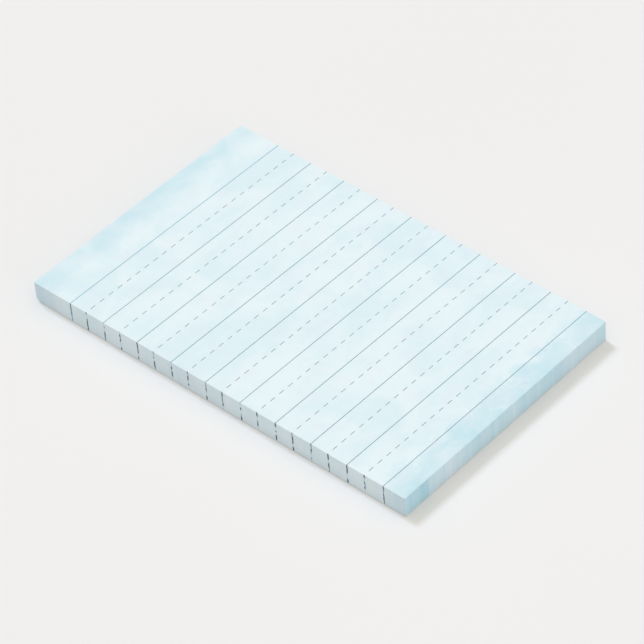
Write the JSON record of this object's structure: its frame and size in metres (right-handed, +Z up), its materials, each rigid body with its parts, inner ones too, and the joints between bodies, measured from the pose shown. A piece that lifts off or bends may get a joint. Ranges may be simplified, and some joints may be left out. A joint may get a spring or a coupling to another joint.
{
  "type": "sticky note pad",
  "caption": "Upright rectangular pad of pale blue sticky notes with solid handwriting rules, dashed midlines, printed cut edges and a thin backing sheet.",
  "frame": {"origin": "centre of the pad's footprint, on the surface that it lies on", "axes": "+X along the rules to the reader's right, +Y up the page to the header edge, +Z up out of the top note"},
  "size_m": [0.1024, 0.1524, 0.0084],
  "materials": {
    "note_paper": "matt uncoated paper with a soft pale blue wash",
    "backing_paper": "smooth release-coated paper",
    "rule_ink": "matt printed ink, grey-teal",
    "dash_ink": "matt printed ink, grey"
  },
  "bodies": {
    "root": {"note_sheets": "note_paper", "backing_sheet": "backing_paper", "solid_rules": "rule_ink", "dashed_rules": "dash_ink"}
  },
  "joints": []
}
